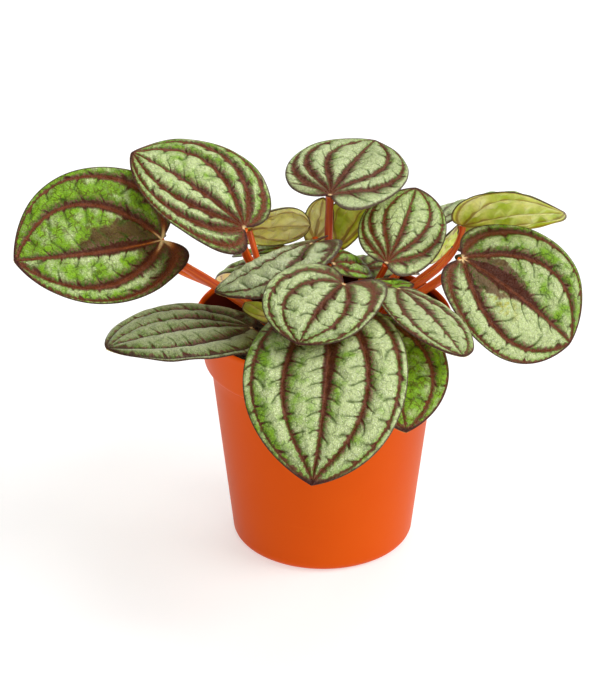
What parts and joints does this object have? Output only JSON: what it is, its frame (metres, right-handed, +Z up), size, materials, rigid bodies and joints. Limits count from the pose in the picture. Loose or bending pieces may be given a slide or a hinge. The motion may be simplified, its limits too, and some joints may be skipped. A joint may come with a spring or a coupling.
{
  "type": "potted peperomia",
  "caption": "Potted foliage plant with rounded, puckered, sunken-veined leaves on fleshy red stalks rising from soil in a round nursery pot.",
  "frame": {"origin": "centre of the pot's flat foot, on the surface that it stands on", "axes": "+Z up along the pot's axis, -Y toward the viewer of the picture, +X to the right in it"},
  "size_m": [0.2266, 0.1822, 0.1654],
  "materials": {
    "pot_plastic": "satin orange moulded plastic",
    "potting_soil": "dark crumbly peat",
    "leaf_upper": "satin silvery green leaf with burgundy veins",
    "leaf_underside": "matt yellow-green leaf underside with red veins",
    "petiole_flesh": "satin red-orange fleshy stalk"
  },
  "bodies": {
    "root": {"pot": "pot_plastic", "soil": "potting_soil", "blade_far_left": "leaf_upper", "petiole_far_left": "petiole_flesh", "blade_upper_left": "leaf_upper", "petiole_upper_left": "petiole_flesh", "blade_top": "leaf_upper", "petiole_top": "petiole_flesh", "blade_upper_right": "leaf_upper", "petiole_upper_right": "petiole_flesh", "blade_far_right": "leaf_upper", "petiole_far_right": "petiole_flesh", "blade_right_rear": "leaf_underside", "petiole_right_rear": "petiole_flesh", "blade_low_left": "leaf_upper", "petiole_low_left": "petiole_flesh", "blade_inner_left": "leaf_upper", "petiole_inner_left": "petiole_flesh", "blade_centre": "leaf_upper", "petiole_centre": "petiole_flesh", "blade_low_right": "leaf_upper", "petiole_low_right": "petiole_flesh", "blade_front": "leaf_upper", "petiole_front": "petiole_flesh", "blade_front_right": "leaf_upper", "petiole_front_right": "petiole_flesh", "blade_rear_left": "leaf_underside", "petiole_rear_left": "petiole_flesh", "blade_rear_small": "leaf_underside", "petiole_rear_small": "petiole_flesh", "blade_rear_middle": "leaf_underside", "petiole_rear_middle": "petiole_flesh", "blade_thin_left": "leaf_upper", "petiole_thin_left": "petiole_flesh", "blade_inner_small": "leaf_upper", "petiole_inner_small": "petiole_flesh", "blade_young_left": "leaf_upper", "petiole_young_left": "petiole_flesh", "blade_inner_right": "leaf_upper", "petiole_inner_right": "petiole_flesh", "blade_rear_right_high": "leaf_upper", "petiole_rear_right_high": "petiole_flesh", "blade_rear_right": "leaf_underside", "petiole_rear_right": "petiole_flesh", "blade_back_left": "leaf_upper", "petiole_back_left": "petiole_flesh", "blade_back_right": "leaf_upper", "petiole_back_right": "petiole_flesh", "blade_rim_right": "leaf_upper", "petiole_rim_right": "petiole_flesh", "blade_rim_middle": "leaf_upper", "petiole_rim_middle": "petiole_flesh", "blade_rim_left": "leaf_upper", "petiole_rim_left": "petiole_flesh"}
  },
  "joints": []
}
